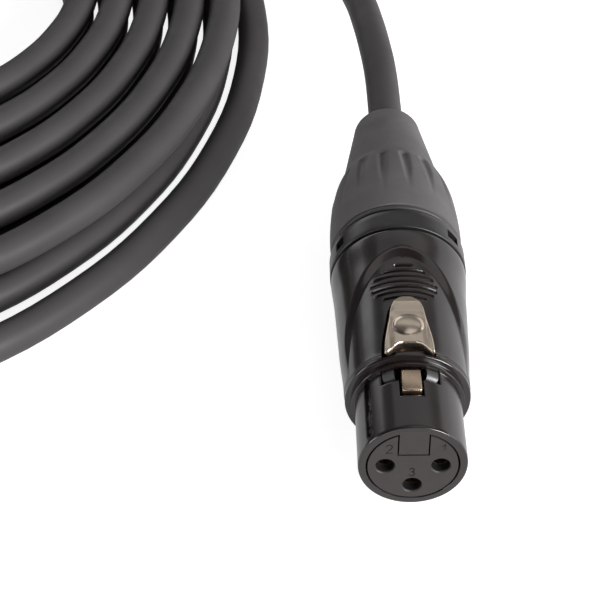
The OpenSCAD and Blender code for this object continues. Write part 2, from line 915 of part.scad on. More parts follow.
from_t = first_ring / loop_rings;
coil_bends = [for (i = [first_ring:floor(loops * loop_rings)]) coil_point(i / loop_rings)];
coil_in = unit(coil_point(from_t) - coil_point(from_t - 0.01));
coil_out = unit(coil_point(loops + 0.01) - coil_point(loops));
coil_start = coil_bends[0] - cable_d * coil_in;
coil_finish = coil_bends[len(coil_bends) - 1] + cable_d * coil_out;
coil_route = concat([coil_start], coil_bends, [coil_finish]);

female_exit = [0, connector_l / 2, axis_z];
lead_route = concat(
    [female_exit, female_exit + [0, cable_d, 0]], lead_points, [coil_start - cable_d * coil_in, coil_start]
);
tail_route = concat(
    [coil_finish, coil_finish + cable_d * coil_out], tail_points, [male_at + [0, cable_d, 0], male_at]
);

// Least clear distance between two loops, measured between ring centres half a loop or more apart
least_gap = min([
    for (i = [0:len(coil_bends) - 1], j = [i + loop_rings / 2:len(coil_bends) - 1])
        norm(coil_bends[i] - coil_bends[j])
]) - cable_d;
function route_length(p) = [for (i = [1:len(p) - 1]) norm(p[i] - p[i - 1])] * [for (i = [1:len(p) - 1]) 1];
echo(least_gap_mm = least_gap);
echo(cable_mm = route_length(lead_route) + route_length(coil_route) + route_length(tail_route));

module cable_lead() {
    color([0.1, 0.1, 0.102])
        tube(lead_route, cable_r, 8);
}

module cable_coil() {
    color([0.1, 0.1, 0.102])
        tube(coil_route, cable_r, 6);
}

module cable_tail() {
    color([0.1, 0.1, 0.102])
        tube(tail_route, cable_r, 8);
}

// ---- the nodes -----------------------------------------------------------------------------

female_housing();
female_insert();
female_socket(1);  // female_socket_1
female_socket(2);  // female_socket_2
female_socket(3);  // female_socket_3
ground_spring();
latch_lever();
latch_pin();
latch_spring();
female_ring();
female_nut();
female_boot();
female_chuck();
female_cable_end();
female_wire(1);  // female_wire_1
female_wire(2);  // female_wire_2
female_wire(3);  // female_wire_3
cable_lead();
cable_coil();
cable_tail();
male_housing();
male_insert();
male_pin(1);  // male_pin_1
male_pin(2);  // male_pin_2
male_pin(3);  // male_pin_3
male_ground_tab();
male_ring();
male_nut();
male_boot();
male_chuck();
male_cable_end();
male_wire(1);  // male_wire_1
male_wire(2);  // male_wire_2
male_wire(3);  // male_wire_3
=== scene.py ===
"""A coiled microphone cable: materials, cable, shells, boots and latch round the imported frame.

Sizes of the connectors are in millimetres in a connector's own frame: x to the right, z up from
its axis, and s from its front face towards its cable. place() turns them into the row frame.
A turn is an angle about the axis, from straight up towards x.
"""
import math

import bmesh
import bpy
import numpy as np
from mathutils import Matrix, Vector
from mathutils.geometry import tessellate_polygon


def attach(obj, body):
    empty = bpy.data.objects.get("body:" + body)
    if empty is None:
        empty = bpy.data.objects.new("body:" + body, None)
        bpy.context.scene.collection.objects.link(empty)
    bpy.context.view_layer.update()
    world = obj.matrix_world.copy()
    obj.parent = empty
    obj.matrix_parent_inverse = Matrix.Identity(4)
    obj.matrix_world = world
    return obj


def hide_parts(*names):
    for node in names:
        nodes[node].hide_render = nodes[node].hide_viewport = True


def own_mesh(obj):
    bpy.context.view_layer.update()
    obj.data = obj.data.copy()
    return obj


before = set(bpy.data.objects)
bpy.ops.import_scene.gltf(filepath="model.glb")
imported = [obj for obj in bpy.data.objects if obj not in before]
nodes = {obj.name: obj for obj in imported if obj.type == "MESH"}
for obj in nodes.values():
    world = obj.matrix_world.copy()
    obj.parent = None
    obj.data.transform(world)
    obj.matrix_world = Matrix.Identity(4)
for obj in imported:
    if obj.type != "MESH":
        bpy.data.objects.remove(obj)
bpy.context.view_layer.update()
scene = bpy.context.scene

MM = 0.001
LONG = 81.45  # a connector, from its face to the end of its boot
BOOT_END = {"female": (0.0, LONG / 2, 11.0), "male": (-141.0, 105.15, 23.1)}
BASE = {end: (x, y - LONG, z) for end, (x, y, z) in BOOT_END.items()}

# ---- camera ----

lens = bpy.data.cameras.new("camera")
lens.lens, lens.sensor_width = 110.2, 36
lens.clip_start, lens.clip_end = 0.01, 20
camera = bpy.data.objects.new("camera", lens)
camera.location = (-0.0187, -0.22265, 0.2067)
camera.rotation_euler = (math.radians(48.11), 0, math.radians(-0.73))
scene.collection.objects.link(camera)
scene.camera = camera

# ---- the cable's route, as in part.scad ----

CABLE_D = 6.0
LEAD = [
    (-0.3, 59.15, 11), (-0.9, 67.15, 10.8), (-1.8, 76.15, 10.2), (-3.1, 86.15, 9),
    (-5.6, 97.15, 7.4), (-9.6, 108.15, 5.8), (-15.2, 118.55, 4.6), (-22, 128.35, 3.9),
    (-30, 137.15, 3.7), (-39, 144.15, 4.3), (-48.5, 149.15, 5.9), (-57.5, 151.55, 7.7),
    (-66, 152.35, 9.1), (-75, 152.45, 9.7), (-84, 152.25, 9.7), (-95, 151.45, 9.2),
    (-105.8, 149.15, 8), (-115.8, 144.75, 6), (-123.4, 139.65, 4.3), (-130.2, 132.65, 3.2),
]
TAIL = [
    (-54.3, 144.25, 11.9), (-61.4, 147.85, 14.1), (-69.4, 149.15, 15.8), (-77.6, 149.05, 16.8),
    (-85.8, 148.05, 17.4), (-93.9, 146.25, 17.8), (-101.9, 143.85, 18.1), (-109.6, 140.85, 18.5),
    (-117, 137.25, 19.1), (-124, 132.95, 19.9), (-130.3, 127.65, 20.9), (-135.6, 121.35, 22),
    (-139.4, 114.95, 22.9),
]
LOOP_A, LOOP_B = 96.4, 73.4  # half the length and half the width of the outermost loop
STEP_A, STEP_B = 10, 7.4  # how much they shrink in each loop
LOOP_DIR, START_DIR = 75, 100  # directions of the loops' long axis and of the coil's start
COIL_MID, LOOP_SHIFT = np.array((-94, 69.15)), np.array((0.6, 2.85))
SNUG, SNUG_DIR = 9, -38  # how far the coil is drawn in, and the side that stays free
LOOPS_IN, LOOPS = 6.125, 10.84  # loops to where the spiral turns back, and to the tail
CLIMB, LAYER_H = 0.5, 6.45  # part of a loop in which the cable climbs, and how high
RINGS, FIRST_RING = 24, 3
SHORT = 0.01  # part of a loop over which a heading is measured


def unit(v):
    return v / np.linalg.norm(v)


def heading(degrees):
    return np.array((math.cos(math.radians(degrees)), math.sin(math.radians(degrees))))


def coil_point(t):
    """Where the cable's middle is after t loops of the coil."""
    half, x = CLIMB / 2, t - LOOPS_IN
    k = LOOPS_IN - half / 2 * (1 + (x / half) ** 2) if abs(x) < half else LOOPS_IN - abs(x)
    a, b = LOOP_A - STEP_A * k, LOOP_B - STEP_B * k
    turn = math.radians(START_DIR - LOOP_DIR + 360 * t)
    along, across, free = heading(LOOP_DIR), heading(LOOP_DIR + 90), heading(SNUG_DIR)
    normal = unit(math.cos(turn) / a * along + math.sin(turn) / b * across)
    u = (1 - normal @ free) / 2
    turned = free[0] * normal[1] - free[1] * normal[0]
    drawn = SNUG * (u * u * normal + u * turned * np.array((-normal[1], normal[0])))
    xy = COIL_MID + LOOP_SHIFT * k + a * math.cos(turn) * along + b * math.sin(turn) * across
    u = min(1, max(0, x / CLIMB + 0.5))
    return np.array((*(xy - drawn), CABLE_D / 2 + LAYER_H * u * u * (3 - 2 * u)))


def cable_route():
    """The points that the cable follows, from the female connector to the male one."""
    last_ring = math.floor(LOOPS * RINGS)
    bends = [coil_point(i / RINGS) for i in range(FIRST_RING, last_ring + 1)]
    into = unit(coil_point(FIRST_RING / RINGS) - coil_point(FIRST_RING / RINGS - SHORT))
    out = unit(coil_point(LOOPS + SHORT) - coil_point(LOOPS))
    start, finish = bends[0] - CABLE_D * into, bends[-1] + CABLE_D * out
    ahead = np.array((0, CABLE_D, 0))
    leave, arrive = np.array(BOOT_END["female"]), np.array(BOOT_END["male"])
    route = [leave, leave + ahead, *LEAD, start - CABLE_D * into, start, *bends, finish]
    return [*route, finish + CABLE_D * out, *TAIL, arrive + ahead, arrive]


# ---- materials ----

NOISE_SPAN = (0.3, 0.7)  # where most values of a noise texture lie


def add_node(tree, kind, inputs=None, operation=None):
    node = tree.nodes.new(kind)
    if operation:
        node.operation = operation
    for key, value in (inputs or {}).items():
        node.inputs[key].default_value = value
    return node


def procedural(name, colour, rough, metal, specular, smudge, grains, mottle):
    """A material whose roughness (smudge), normal (grains) and colour (mottle) vary by noise.

    smudge and mottle are a noise's scale and the share by which the value varies. A grain is a
    noise's scale, its depth in millimetres and its strength.
    """
    material = bpy.data.materials.new(name)
    material.use_nodes = True
    tree = material.node_tree
    shader = tree.nodes["Principled BSDF"]
    shader.inputs["Base Color"].default_value = (*colour, 1)
    shader.inputs["Roughness"].default_value = rough
    shader.inputs["Metallic"].default_value = metal
    shader.inputs["Specular IOR Level"].default_value = specular
    coords = add_node(tree, "ShaderNodeTexCoord").outputs["Object"]

    def noise(scale, detail, socket):
        node = add_node(tree, "ShaderNodeTexNoise", {"Scale": scale, "Detail": detail})
        tree.links.new(coords, node.inputs["Vector"])
        tree.links.new(node.outputs["Fac"], socket)

    scale, share = smudge
    low, high = NOISE_SPAN
    spread = add_node(tree, "ShaderNodeMapRange", {
        "From Min": low, "From Max": high,
        "To Min": rough * (1 - share), "To Max": min(1, rough * (1 + share)),
    })
    noise(scale, 3, spread.inputs["Value"])
    tree.links.new(spread.outputs["Result"], shader.inputs["Roughness"])

    normal = None
    for scale, depth, strength in grains:
        bump = add_node(tree, "ShaderNodeBump", {"Strength": strength, "Distance": depth * MM})
        noise(scale, 2, bump.inputs["Height"])
        if normal:
            tree.links.new(normal, bump.inputs["Normal"])
        normal = bump.outputs["Normal"]
    if normal:
        tree.links.new(normal, shader.inputs["Normal"])

    scale, share = mottle
    ramp = add_node(tree, "ShaderNodeValToRGB")
    shades = (1 - share, 1 + share)
    for element, at, shade in zip(ramp.color_ramp.elements, NOISE_SPAN, shades):
        element.position = at
        element.color = (*[c * shade for c in colour], 1)
    noise(scale, 3, ramp.inputs["Fac"])
    tree.links.new(ramp.outputs["Color"], shader.inputs["Base Color"])
    return material


# colour, roughness, metal, specular level, smudge, grains, mottle
FINISHES = {
    "shell_black": (
        (0.0118, 0.0083, 0.0079), 0.2, 0, 0.65, (300, 0.15), [(2600, 0.002, 0.4)], (120, 0.15)),
    "face_grey": (
        (0.031, 0.0268, 0.0262), 0.5, 0, 0.35, (700, 0.15), [(5200, 0.008, 0.6)], (500, 0.06)),
    # this dark finish is the print of the digits, and also the painted shade in the insert's holes
    "ink_and_painted_shade": ((0.008, 0.0075, 0.0075), 0.6, 0, 0.2, (700, 0.1), [], (500, 0.05)),
    "ring_black": (
        (0.0125, 0.0118, 0.0118), 0.32, 0, 0.5, (400, 0.15), [(3200, 0.004, 0.5)], (300, 0.08)),
    "nut_black": ((0.045, 0.0422, 0.0422), 0.5, 0, 0.4, (400, 0.15), [], (300, 0.1)),
    "boot_grey": (
        (0.104, 0.098, 0.098), 0.6, 0, 0.35, (300, 0.12), [(2400, 0.012, 0.5)], (260, 0.07)),
    "jacket": (
        (0.0575, 0.0537, 0.0537), 0.5, 0, 0.16, (260, 0.12),
        [(3600, 0.006, 0.5), (160, 0.02, 0.3)], (90, 0.08)),
    "nickel": (
        (0.6, 0.505, 0.415), 0.25, 1, 0.5, (900, 0.08), [(3800, 0.0012, 0.4)], (700, 0.04)),
    "brass": (
        (0.53, 0.405, 0.3), 0.27, 1, 0.5, (900, 0.08), [(4200, 0.0015, 0.4)], (600, 0.05)),
    "strip": (
        (0.17, 0.166, 0.17), 0.58, 1, 0.5, (900, 0.15), [(3600, 0.002, 0.5)], (500, 0.06)),
    "silver": ((0.42, 0.34, 0.27), 0.3, 1, 0.5, (1200, 0.3), [], (800, 0.06)),
    "steel": ((0.55, 0.55, 0.56), 0.3, 1, 0.5, (1200, 0.3), [], (800, 0.06)),
    "acetal": ((0.68, 0.66, 0.6), 0.45, 0, 0.5, (400, 0.15), [], (200, 0.04)),
    "core_1": ((0.36, 0.16, 0.05), 0.4, 0, 0.5, (400, 0.15), [], (300, 0.05)),
    "core_2": ((0.8, 0.8, 0.77), 0.4, 0, 0.5, (400, 0.15), [], (300, 0.04)),
    "core_3": ((0.45, 0.02, 0.015), 0.4, 0, 0.5, (400, 0.15), [], (300, 0.05)),
}
materials = {name: procedural(name, *row) for name, row in FINISHES.items()}


def put(ob, finish):
    ob.data.materials.clear()
    ob.data.materials.append(materials[finish])


# ---- mesh helpers ----


def place(end, points):
    """Points (x, z, s) of a connector's own frame, in the row frame, in metres."""
    p = np.asarray(points, float)
    return (np.stack([p[:, 0], p[:, 2], p[:, 1]], 1) + np.array(BASE[end])) * MM


def piece(name, end, shape, finish, body="cable", replaces=(), sharp=40):
    """A piece of a shape's points and faces. Edges that turn by sharp degrees or more are hard."""
    points, faces = shape
    mesh = bpy.data.meshes.new(name)
    mesh.from_pydata([tuple(p) for p in place(end, points)], [], faces)
    work = bmesh.new()
    work.from_mesh(mesh)
    bmesh.ops.recalc_face_normals(work, faces=work.faces)
    limit = math.radians(sharp)
    for edge in work.edges:
        edge.smooth = len(edge.link_faces) == 2 and edge.calc_face_angle(0) < limit
    for face in work.faces:
        face.smooth = True
    work.to_mesh(mesh)
    work.free()
    ob = bpy.data.objects.new(name, mesh)
    scene.collection.objects.link(ob)
    put(ob, finish)
    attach(ob, body)
    if replaces:
        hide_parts(*replaces)
    return ob


def smooth_step(x, low, high):
    t = np.clip((x - low) / (high - low), 0, 1)
    return t * t * (3 - 2 * t)


def soft_min(a, b, k):
    h = np.clip(0.5 + 0.5 * (b - a) / k, 0, 1)
    return b + (a - b) * h - k * h * (1 - h)


def smoothed(table, s, reach):
    """The value at s in a table of (s, value), averaged over five places within reach."""
    at, value = zip(*table)
    return sum(np.interp(s + reach * d, at, value) for d in (-1, -0.5, 0, 0.5, 1)) / 5


def divided(corners, step):
    """A polyline with points at most step apart, or as near as the corner ahead asks for."""
    out = [corners[0][:2]]
    for corner in corners[1:]:
        a, b = np.array(out[-1]), np.array(corner[:2])
        n = max(1, math.ceil(np.linalg.norm(b - a) / (corner[2] if len(corner) > 2 else step)))
        out += [tuple(a + (b - a) * i / n) for i in range(1, n + 1)]
    return out


def rising(rows, least=0.012):
    """Rows whose stations always grow a little, so that no cell has a zero length."""
    out = [rows[0]]
    for s, r in rows[1:]:
        out.append((max(s, out[-1][0] + least), r))
    return out


def spaced(spans, marks=(), near=0.0):
    """Stations over (end, step) spans, with the marks in place of what lies near them."""
    out = [spans[0][0]]
    for (a, _), (b, step) in zip(spans, spans[1:]):
        n = max(1, round((b - a) / step))
        out += [a + (b - a) * i / n for i in range(1, n + 1)]
    out = [v for v in out if all(abs(v - m) > near for m in marks)]
    return sorted(out + list(marks))


def grid_faces(rows, cols, close_rows=False, close_cols=False):
    """Quads between the points of a grid, which may close on itself either way."""
    return [
        (
            i * cols + j,
            i * cols + (j + 1) % cols,
            (i + 1) % rows * cols + (j + 1) % cols,
            (i + 1) % rows * cols + j,
        )
        for i in range(rows if close_rows else rows - 1)
        for j in range(cols if close_cols else cols - 1)
    ]


def lathe(profile, turns, change=None):
    """Points (x, z, s) and faces of a closed profile of (s, r) turned about the axis."""
    theta, s = np.meshgrid(np.radians(turns), [s for s, _ in profile])
    r = np.repeat(np.array([[r] for _, r in profile], float), len(turns), 1)
    if change:
        r = change(theta, s, r)
    points = np.stack([r * np.sin(theta), r * np.cos(theta), s], -1).reshape(-1, 3)
    return points, grid_faces(len(profile), len(turns), True, True)


def merged(*parts):
    points, faces, n = [], [], 0
    for p, f in parts:
        points.append(np.asarray(p, float))
        faces += [tuple(i + n for i in face) for face in f]
        n += len(p)
    return np.concatenate(points), faces


def circle(radius, count, x=0, z=0):
    turns = np.linspace(0, 2 * math.pi, count, endpoint=False)
    return [(x + radius * math.cos(a), z + radius * math.sin(a)) for a in turns]


def extruded(loops, s0, s1):
    """A plate over flat loops of (x, z), the first the outline and the rest its holes."""
    triangles = tessellate_polygon([[Vector((x, z, 0)) for x, z in loop] for loop in loops])
    flat = [p for loop in loops for p in loop]
    n = len(flat)
    points = [(x, z, s0) for x, z in flat] + [(x, z, s1) for x, z in flat]
    faces = [tuple(t) for t in triangles] + [tuple(i + n for i in reversed(t)) for t in triangles]
    start = 0
    for loop in loops:
        m = len(loop)
        for i in range(m):
            a, b = start + i, start + (i + 1) % m
            faces.append((a, b, n + b, n + a))
        start += m
    return np.array(points), faces


def rounded_box(x0, x1, z0, z1, s0, s1, radius, segments=3):
    """A box with all its edges rounded."""
    work = bmesh.new()
    bmesh.ops.create_cube(work, size=1)
    low, high = np.array((x0, z0, s0)), np.array((x1, z1, s1))
    for v in work.verts:
        v.co = Vector(low + (np.array(v.co) + 0.5) * (high - low))
    bmesh.ops.bevel(
        work, geom=work.edges[:], offset=radius, segments=segments, profile=0.5, affect="EDGES")
    work.verts.ensure_lookup_table()
    points = np.array([v.co[:] for v in work.verts])
    faces = [tuple(v.index for v in f.verts) for f in work.faces]
    work.free()
    return points, faces


def sheet_pair(outer, inner, holes):
    """Two sheets of the same rows and columns, joined at their ends and round their holes."""
    rows, cols = outer.shape[:2]
    points = np.concatenate([outer.reshape(-1, 3), inner.reshape(-1, 3)])
    n = rows * cols
    faces = []
    for i in range(rows - 1):
        for j in range(cols):
            k = (j + 1) % cols
            a, b, c, d = i * cols + j, i * cols + k, (i + 1) * cols + k, (i + 1) * cols + j
            if not holes[i, j]:
                faces += [(a, b, c, d), (n + d, n + c, n + b, n + a)]
                continue
            if not holes[i, j - 1]:
                faces.append((a, d, n + d, n + a))
            if not holes[i, k]:
                faces.append((b, c, n + c, n + b))
            if i == 0 or not holes[i - 1, j]:
                faces.append((a, b, n + b, n + a))
            if i == rows - 2 or not holes[i + 1, j]:
                faces.append((d, c, n + c, n + d))
    for j in range(cols):
        k = (j + 1) % cols
        for i in (0, rows - 1):
            faces.append((i * cols + j, i * cols + k, n + i * cols + k, n + i * cols + j))
    used = np.zeros(len(points), bool)
    used[np.unique(np.concatenate([np.array(f) for f in faces]))] = True
    index = np.cumsum(used) - 1
    return points[used], [tuple(index[list(f)]) for f in faces]


# ---- the body of a connector ----

BODY_R = 9.5
BODY_AT = 15.2  # where the collar ends
ARCH_MID, ARCH_L, ARCH_W = 16.0, 19.5, 9.0  # the recess: its middle, length and half width
ARCH_R, ARCH_SOFT = 9.7, 0.18  # where its rim lies, and how far the rim is rounded
SADDLE = [
    (12, 9.56), (17, 9.6), (19.5, 9.78), (22.2, 9.98), (25, 10.1), (27.6, 10.2), (30.4, 10.32),
    (33, 10.42), (36, 10.55), (38, 10.74), (40, 10.9), (45, 10.95),
]
GRIP_FIRST, GRIP_ROW, GRIP_DEPTH, GRIP_END = 26.2, 1.23, 0.45, 0.3
GRIP_HALVES = (3.3, 4.5, 5.1, 5.2, 4.65, 3.4, 1.5)  # half the length of each grip groove
GRIP_WALL = (0.12, 0.31)  # a groove's wall, as distances from its middle line
LIP_H, LIP_AT, LIP_W = 0.03, 0.38, 0.08  # the raised edge round it
COLLAR = [
    (13.3, 8.62, 0.4), (13.3, 9.22, 0.4), (13.33, 9.36, 0.4), (13.42, 9.46, 0.4),
    (13.55, 9.5, 0.3), (13.64, 9.5, 0.3), (13.98, 9.5, 0.3), (14.06, 9.36, 0.4),
    (14.16, 9.36, 0.4), (14.24, 9.5, 0.3), (14.46, 9.5, 0.4), (14.54, 9.36, 0.4),
    (14.64, 9.36, 0.4), (14.72, 9.5, 0.3), (BODY_AT, 9.5, 0.4),
]
REAR = [
    (25.7, 9.5, 0.15), (34.3, 9.5, 0.1), (36.6, 9.5, 0.08), (40.3, 9.5, 0.4),
    (40.5, 9.5, 0.15), (40.68, 9.45, 0.1), (40.8, 9.4, 0.1), (40.87, 9.3, 0.1),
]
REAR_EDGE = [(40.3, 0), (40.5, 0.03), (40.68, 0.1), (40.8, 0.2), (40.87, 0.36)]


def body_surface(theta, s):
    """Radius of the body behind the collar: recess, saddle and grip grooves."""
    x = ARCH_R * np.sin(theta)
    behind = np.maximum(s - ARCH_MID, 0) / ARCH_L
    q = np.sqrt(behind**2 + (x / ARCH_W) ** 2) + 1e-9
    slope = np.sqrt((behind / ARCH_L) ** 2 + (x / ARCH_W**2) ** 2) / q + 1e-6
    beyond_arch = np.maximum((q - 1) / slope, 0)
    under = np.cos(theta) < 0
    saddle = smoothed(SADDLE, s, 1.2)
    r = soft_min(saddle, np.where(under, 50, BODY_R + beyond_arch), ARCH_SOFT)
    for i, half in enumerate(GRIP_HALVES):
        dx = np.maximum(np.abs(BODY_R * np.sin(theta)) - half + GRIP_END, 0)
        d = np.sqrt(dx**2 + (s - GRIP_FIRST - GRIP_ROW * i) ** 2)
        lip = LIP_H * np.exp(-(((d - LIP_AT) / LIP_W) ** 2))
        r = np.where(under, r, r - GRIP_DEPTH * (1 - smooth_step(d, *GRIP_WALL)) + lip)
    return r


def body_shape(theta, s, r):
    """Front rows keep their radius; behind the collar the body's surface takes over."""
    behind = smooth_step(s, BODY_AT - 0.05, BODY_AT) * (s > BODY_AT - 0.05)
    edge = np.interp(s, *zip(*REAR_EDGE))
    return r + behind * (body_surface(theta, s) - edge - r)


def cell_middles(t, s):
    """The turn in degrees and the station of the middle of each cell of a shell."""
    turn = np.degrees(t)
    mid = (turn + np.roll(turn, -1, 1)) / 2
    mid[:, -1] = 180
    return mid, np.vstack([(s[:-1] + s[1:]) / 2, s[-1:]])


def shell(front, columns, holes, outer, inner, snap=None):
    """A connector's shell, of rows (s, r) and of columns at turns in degrees."""
    rows = np.array(rising(divided(front, 0.4)))
    theta = np.radians(columns)
    s = np.repeat(rows[:, :1], len(theta), 1)
    r = np.repeat(rows[:, 1:], len(theta), 1)
    t = np.repeat(theta[None, :], len(rows), 0)
    mask = holes(t, s)
    if snap:
        t = snap(t, s, mask)
    outer_r, (inner_r, inner_s) = outer(t, s, r), inner(t, s)
    sheets = [
        np.stack([radius * np.sin(t), radius * np.cos(t), station], -1)
        for radius, station in ((outer_r, s), (inner_r, inner_s))
    ]
    return sheet_pair(*sheets, mask[:-1])


# ---- the female shell ----

PAD_AT, PAD_END, PAD_TIP = 13.95, 25.65, 3.3  # the lever's pad, and the length of its round tip
PAD_SIDE = [
    (13, 3.74), (14, 3.72), (15.2, 3.68), (16.8, 3.56), (18.2, 3.34), (19.5, 3.1),
    (21.5, 2.72), (23.4, 2.46), (26, 2.4),
]
PAD_GAP, LEFT_GAP = 0.22, 0.25  # round the pad, and what the gap is wider by on its left
WINDOW_END, HOOK_WINDOW_AT, TAB_WINDOW_AT = 12.4, 6.6, 9.9
HOOK_TURN, TAB_TURN = 13.2, 33.2  # half of each window, in degrees
DEGREE = 0.138  # on the nose's surface, in millimetres
GROOVE_TURN, GROOVE_R, GROOVE_AT, GROOVE_HALF, GROOVE_DEPTH = -52, 7.9, 1.8, 0.6, 0.55
FEMALE_FRONT = [
    (0, 6.95), (0, 7.74, 1), (0.03, 7.87, 1), (0.11, 7.96, 1), (0.3, 8.02, 1),
    (1.0, 8.02, 0.35), (2.2, 8.02, 0.15), (6.48, 8.02, 0.3), (6.6, 8.02, 1), (6.72, 8.02, 1),
    (9.78, 8.02, 0.3), (9.9, 8.02, 1), (10.02, 8.02, 1), (12.28, 8.02, 0.3), (12.36, 8.02, 1),
    (12.4, 8.06, 1), (12.4, 8.5, 1), (12.43, 8.57, 1), (12.5, 8.6, 1), (13.28, 8.6, 0.3),
]


def pad_half(s, gap=0.0):
    """Half the width of the lever's pad, or of its opening a gap wider, at station s."""
    s = np.asarray(s, float)
    back = np.clip((s - (PAD_END - PAD_TIP)) / (PAD_TIP + gap), 0, 1)
    return (np.interp(s, *zip(*PAD_SIDE)) + gap) * np.sqrt(np.maximum(1 - back**2.1, 0))


def outside_windows(turn, s):
    """How far a spot lies outside the hook's and the tabs' window, in millimetres."""
    def outside(half, start):
        a, b = (np.abs(turn) - half) * DEGREE, np.maximum(start - s, s - WINDOW_END)
        return np.where((a > 0) & (b > 0), np.hypot(a, b), np.maximum(a, b))

    return np.minimum(outside(HOOK_TURN, HOOK_WINDOW_AT), outside(TAB_TURN, TAB_WINDOW_AT))


def female_holes(t, s):
    """The cells that the windows and the lever's opening take out of the shell."""
    turn, mid_s = cell_middles(t, s)
    across = np.abs(BODY_R * np.sin(np.radians(turn)))
    front = np.where(across > 1.95, 13.66, 14.2)  # further forward for the pad's two corners
    half = pad_half(mid_s, PAD_GAP) + LEFT_GAP * (turn < 0)
    opening = (mid_s > front) & (mid_s < 26.2) & (across < half) & (np.cos(t) > 0)
    return (outside_windows(turn, mid_s) < 0) | opening


def onto_outline(t, s, mask):
    """The turns, with the edge of the lever's opening moved onto its true outline."""
    around = [np.roll(np.roll(mask, di, 0), dj, 1) for di in (0, 1) for dj in (0, 1)]
    edge = np.any(around, axis=0) & ~np.all(around, axis=0)
    zone = edge & (s > 14.4) & (s < 24.2) & (np.cos(t) > 0)
    side = np.where(t > 0, 1, -1)
    half = pad_half(s, PAD_GAP) + LEFT_GAP * (side < 0)
    return np.where(zone, side * np.arcsin(np.clip(half / BODY_R, -1, 1)), t)


def female_outer(t, s, r):
    """The body's shape, with the nose's beaded side groove and softened windows."""
    r = body_shape(t, s, r)
    turn = np.degrees(t)
    across = np.abs(np.radians(turn - GROOVE_TURN)) * GROOVE_R
    d = np.sqrt(across**2 + np.maximum(GROOVE_AT - s, 0) ** 2) - GROOVE_HALF
    deep = GROOVE_DEPTH * (1 - smooth_step(d, -0.12, 0.05))
    beads = np.random.default_rng(5).normal(0, 0.05, r.shape)
    deep += np.where(d < -0.1, beads, 0)
    deep += 0.07 * (1 - smooth_step(outside_windows(turn, s), 0, 0.1))
    return np.where(s < WINDOW_END - 0.02, r - deep, r)


def female_inner(t, s):
    """The bore, with a groove for the hook's arm and a hollow behind the tabs' window."""
    turn = np.abs(np.degrees(t))
    r = np.interp(s, [0, 0.25, 16.9, 17.3], [6.9, 6.75, 6.75, 8.3])
    r = np.where((turn < HOOK_TURN) & (s > WINDOW_END - 0.1), np.maximum(r, 7.9), r)
    hollow = (turn < TAB_TURN + 0.1) * np.interp(s, [12.2, 12.4, 13.6], [0, 0.6, 0])
    return r, s + hollow


window_marks = [v * m + d for v in (HOOK_TURN, TAB_TURN) for m in (-1, 1) for d in (-0.9, 0, 0.9)]
groove_marks = list(np.arange(-56.6, -47.2, 0.65))
columns = spaced(
    [(-93, 0), (-35, 1.2), (35, 0.8), (93, 1.2), (264, 3.2)], window_marks + groove_marks, 0.4)
female_shell = shell(
    FEMALE_FRONT + COLLAR + REAR, columns, female_holes, female_outer, female_inner, onto_outline)
piece(
    "female_shell", "female", female_shell, "shell_black",
    replaces=["female_housing"], sharp=35)

# ---- the female face ----

KEY_HALF, KEY_LOW, KEY_TOP = 2.13, 2.44, 7.2
HOLES = [(4.05, 0), (-4.05, 0), (0, -4.05)]
HOLE_R = 1.41
PEN = 0.17
DIGITS = [  # 1, 2 and 3: x, z, height, and a line in shares of the height
    (4.37, 3.4, 1.0, [(-0.3, 0.6), (0.15, 1), (0.05, 0)]),
    (-3.54, 2.68, 1.75, [
        (-0.24, 0.78), (-0.17, 0.94), (0.02, 1), (0.2, 0.92), (0.24, 0.74), (0.14, 0.52),
        (-0.24, 0.03), (0.26, 0.03)]),
    (-0.1, -2.1, 1.6, [
        (-0.22, 0.86), (-0.06, 1), (0.12, 0.97), (0.22, 0.8), (0.14, 0.6), (-0.02, 0.53),
        (0.18, 0.45), (0.25, 0.25), (0.15, 0.06), (-0.04, 0), (-0.24, 0.13)]),
]


def key_block():
    left, right = -KEY_HALF, KEY_HALF
    outline = [(left, KEY_LOW), (right, KEY_LOW), (right, KEY_TOP), (left, KEY_TOP)]
    return extruded([outline], -0.004, 5.5)


def painted_shade_rings():
    """A dark ring in the mouth of each of the insert's holes, which paints the shade inside them.
    """
    rings = [[circle(r, 40, x, z) for r in (HOLE_R, HOLE_R * 0.95)] for x, z in HOLES]
    return merged(*[extruded(ring, 0.32, 1.55) for ring in rings])


def stroke(line, width, s0, s1):
    """A line drawn with a round pen on the face of a connector."""
    loops = []
    for (x0, z0), (x1, z1) in zip(line, line[1:]):
        turn = math.atan2(z1 - z0, x1 - x0)
        arc = [turn + math.pi / 2 + math.pi * i / 4 for i in range(5)]
        loop = [(x0 + width / 2 * math.cos(a), z0 + width / 2 * math.sin(a)) for a in arc]
        loop += [(x1 - width / 2 * math.cos(a), z1 - width / 2 * math.sin(a)) for a in arc]
        loops.append(extruded([loop], s0, s1))
    return merged(*loops)


def digits():
    lines = [[(x + h * u, z + h * v) for u, v in line] for x, z, h, line in DIGITS]
    return merged(*[stroke(line, PEN, -0.006, 0.1) for line in lines])


piece("female_key", "female", key_block(), "face_grey")
# painted shade: dark rings that stand for the shade inside the insert's holes
piece("female_bore_painted_shade", "female", painted_shade_rings(), "ink_and_painted_shade")
piece("female_digits", "female", digits(), "ink_and_painted_shade")

# ---- latch ----

BUTTON_AT, BUTTON_R, BUTTON_H = 18.95, 2.32, 0.62
PAD_TOP = [(14, 10.36), (16.4, 10.4), (21.2, 10.36), (22.2, 10.3), (24.2, 10.42), (25.7, 10.34)]
PAD_SKIRT = [(9.2, 0.97), (8.45, 0.85)]  # heights under the pad's rim, and its width there
CUT_DEPTH, CUT_FROM, CUT_TO = 1.42, 0.8, 3.75  # the arched cut in the pad's front edge
HINGE_AT, HINGE_Z = 27.25, 6.2
ARM_HALF, ARM_LOW = 1.35, 6.6
SPRING_AT, SPRING_R, SPRING_WIRE, SPRING_TURNS = 17.25, 1.375, 0.225, 4
SPRING_LOW, SPRING_HIGH = 2.425, 6.325


